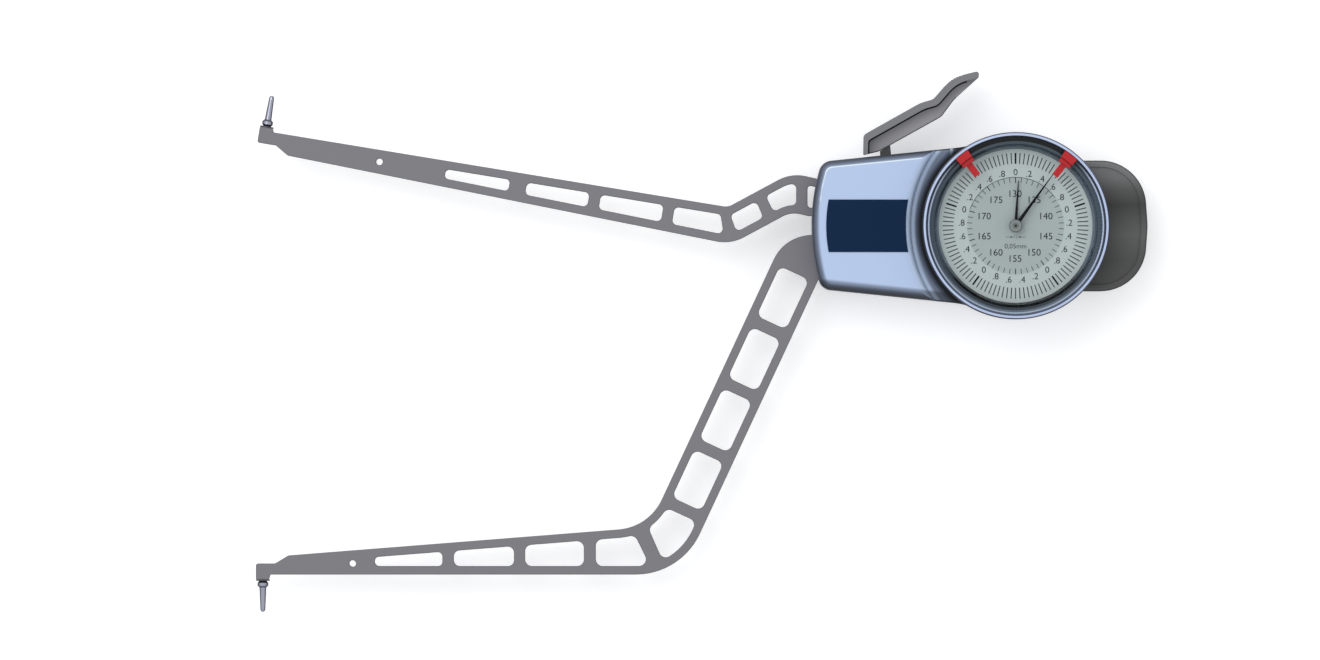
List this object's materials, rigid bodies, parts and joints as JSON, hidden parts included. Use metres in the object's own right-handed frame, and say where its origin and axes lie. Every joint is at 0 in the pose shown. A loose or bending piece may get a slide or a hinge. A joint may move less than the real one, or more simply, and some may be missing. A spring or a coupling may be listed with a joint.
{
  "type": "inside caliper gauge",
  "caption": "Inside caliper gauge with pierced arms, round contact pins, a thumb lever and a round dial with coaxial pointers and red limit markers.",
  "frame": {"origin": "on the flat back of the housing, which the gauge lies on, under the centre of the dial", "axes": "+Z out of the dial, +X from the contact pins along the arms to the palm rest, +Y towards the thumb lever"},
  "size_m": [0.3111, 0.1886, 0.0319],
  "materials": {
    "housing_enamel": "light blue enamel, satin, with slate blue rounded edges",
    "rear_enamel": "slate blue enamel, satin",
    "arm_grey": "mid-grey enamel, satin",
    "plate_navy": "bare navy plate, semi-gloss",
    "palm_grip": "dark grey moulded plastic, soft satin",
    "boot_rubber": "dark rubber, matt",
    "pin_steel": "ground and polished hard steel",
    "washer_steel": "dark steel",
    "screw_steel": "zinc plated steel",
    "bridge_steel": "sheet steel",
    "brass": "turned and cut brass",
    "arbor_steel": "polished steel",
    "pointer_black": "black, matt",
    "cap_grey": "grey, satin",
    "dial_grey": "pale grey-green dial paint, matt",
    "crystal_glass": "clear flat glass",
    "bezel_metal": "dark ring with bright edges, satin",
    "marker_red": "red moulded plastic, gloss"
  },
  "bodies": {
    "housing": {"housing_shell": "housing_enamel", "rear_cover": "rear_enamel", "rear_cover_gasket": "boot_rubber", "rear_cover_screws": "screw_steel", "palm_rest": "palm_grip", "palm_rest_screws": "screw_steel", "name_plate": "plate_navy", "arm_slot_wipers": "boot_rubber", "pivot_bridge": "bridge_steel", "pivot_bridge_screws": "screw_steel", "pivot_bushes": "brass", "stop_pins": "pin_steel", "return_spring": "washer_steel", "fixed_arm": "arm_grey", "fixed_arm_screws": "screw_steel", "fixed_contact_pin": "pin_steel", "fixed_pin_washer": "washer_steel", "lever_boot": "boot_rubber", "movement_bushes": "brass", "movement_rear_plate": "brass", "movement_front_plate": "brass", "movement_pillars": "brass", "pillar_screws": "screw_steel", "movement_screws": "screw_steel"},
    "moving_arm": {"moving_arm": "arm_grey", "moving_contact_pin": "pin_steel", "moving_pin_washer": "washer_steel", "thumb_lever": "arm_grey", "pivot_shaft": "pin_steel", "thrust_washers": "washer_steel", "hub_screws": "screw_steel", "sector_gear": "brass"},
    "cannon": {"cannon_wheel": "brass", "small_pointer": "pointer_black"},
    "intermediate": {"intermediate_arbor": "arbor_steel", "intermediate_wheel": "brass"},
    "centre": {"centre_arbor": "arbor_steel", "large_pointer": "pointer_black", "pointer_cap": "cap_grey"},
    "bezel": {"bezel_ring": "bezel_metal", "bezel_snap_ring": "washer_steel", "crystal": "crystal_glass", "crystal_gasket": "boot_rubber", "dial_face": "dial_grey"},
    "marker_left": {"left_marker": "marker_red"},
    "marker_right": {"right_marker": "marker_red"}
  },
  "joints": [
    {"name": "arm_hinge", "type": "hinge", "parent": "housing", "child": "moving_arm", "pos_m": [-0.0471, 0, 0.0115], "axis": [0, 0, -1], "range_deg": [0, 13.4], "stiffness_Nm_per_rad": 0.9, "springref_deg": -6.88, "deforming": ["return_spring", "lever_boot"]},
    {"name": "cannon_spin", "type": "hinge", "parent": "housing", "child": "cannon", "pos_m": [0, 0, 0.0165], "axis": [0, 0, 1], "range_deg": [-5, 370]},
    {"name": "intermediate_spin", "type": "hinge", "parent": "housing", "child": "intermediate", "pos_m": [0.00733, 0.00267, 0.015], "axis": [0, 0, 1], "range_deg": [-1240, 5]},
    {"name": "centre_spin", "type": "hinge", "parent": "housing", "child": "centre", "pos_m": [0, 0, 0.013], "axis": [0, 0, 1], "range_deg": [-5, 3700]},
    {"name": "bezel_turn", "type": "hinge", "parent": "housing", "child": "bezel", "pos_m": [0, 0, 0.025], "axis": [0, 0, 1], "range_deg": [-20, 20]},
    {"name": "left_marker_turn", "type": "hinge", "parent": "bezel", "child": "marker_left", "pos_m": [0, 0, 0.03], "axis": [0, 0, 1], "range_deg": [-30, 100]},
    {"name": "right_marker_turn", "type": "hinge", "parent": "bezel", "child": "marker_right", "pos_m": [0, 0, 0.03], "axis": [0, 0, 1], "range_deg": [-100, 30]}
  ],
  "couplings": [
    {"joint": "cannon_spin", "follows": "arm_hinge", "ratio": 27.2},
    {"joint": "intermediate_spin", "follows": "arm_hinge", "ratio": -90.667},
    {"joint": "centre_spin", "follows": "arm_hinge", "ratio": 272}
  ]
}
